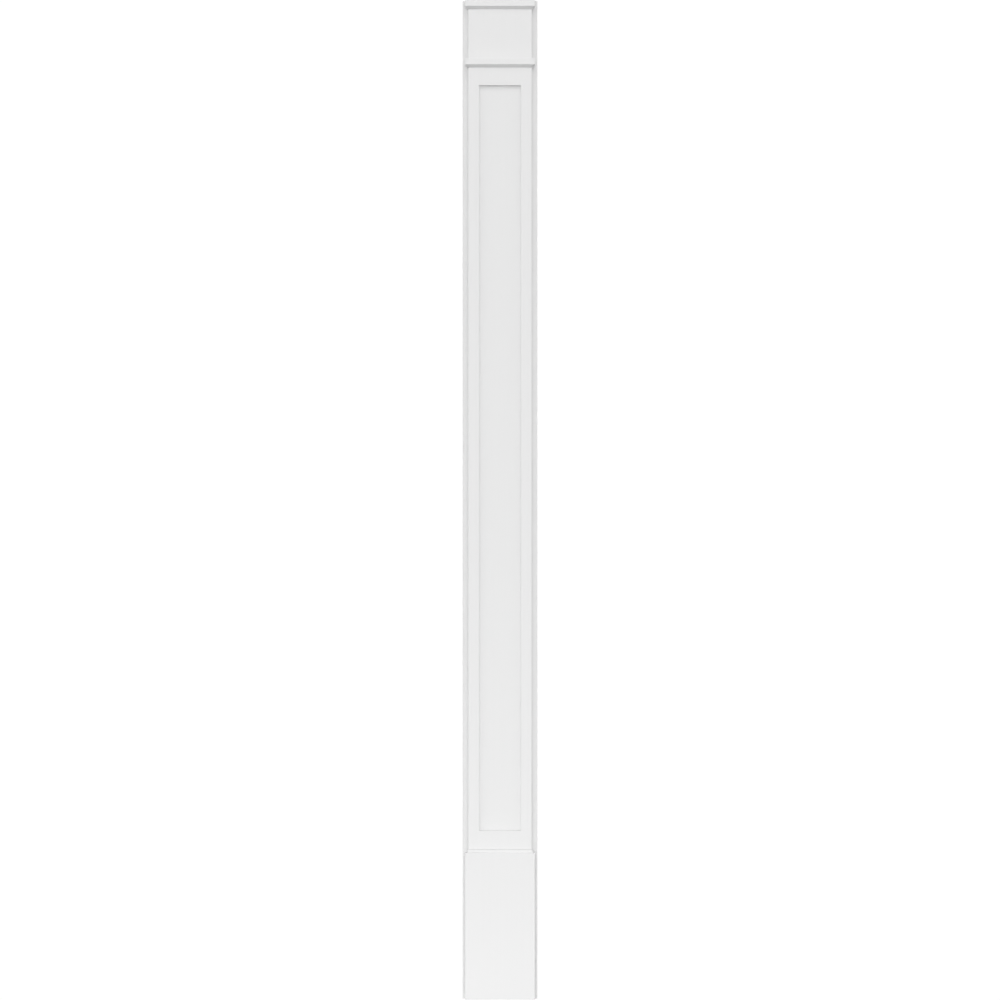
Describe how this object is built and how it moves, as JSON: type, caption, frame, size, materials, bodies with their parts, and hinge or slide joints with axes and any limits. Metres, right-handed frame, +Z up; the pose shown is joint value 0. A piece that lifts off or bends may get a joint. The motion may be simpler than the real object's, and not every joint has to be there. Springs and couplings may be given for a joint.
{
  "type": "pilaster",
  "caption": "Tall flat-panelled wall pilaster with a splayed plinth, a sunk panel shaft, a neck moulding, a plain frieze and a cap moulding.",
  "frame": {"origin": "middle of the foot edge of the flat back face, where the wall meets the floor", "axes": "+Z up the pilaster, +Y into the wall that it is fixed to, its front facing -Y, +X across its width"},
  "size_m": [0.2286, 0.0508, 3.048],
  "materials": {
    "backing_sheet": "smooth matte white foamed board",
    "plinth_stock": "smooth matte white foamed board",
    "shaft_board": "smooth matte white foamed board",
    "moulding_strip": "smooth white foamed strip with a slight sheen"
  },
  "bodies": {
    "root": {"backing_board": "backing_sheet", "plinth_block": "plinth_stock", "shaft": "shaft_board", "neck_moulding_front": "moulding_strip", "neck_moulding_left": "moulding_strip", "neck_moulding_right": "moulding_strip", "cap_moulding_front": "moulding_strip", "cap_moulding_left": "moulding_strip", "cap_moulding_right": "moulding_strip"}
  },
  "joints": []
}
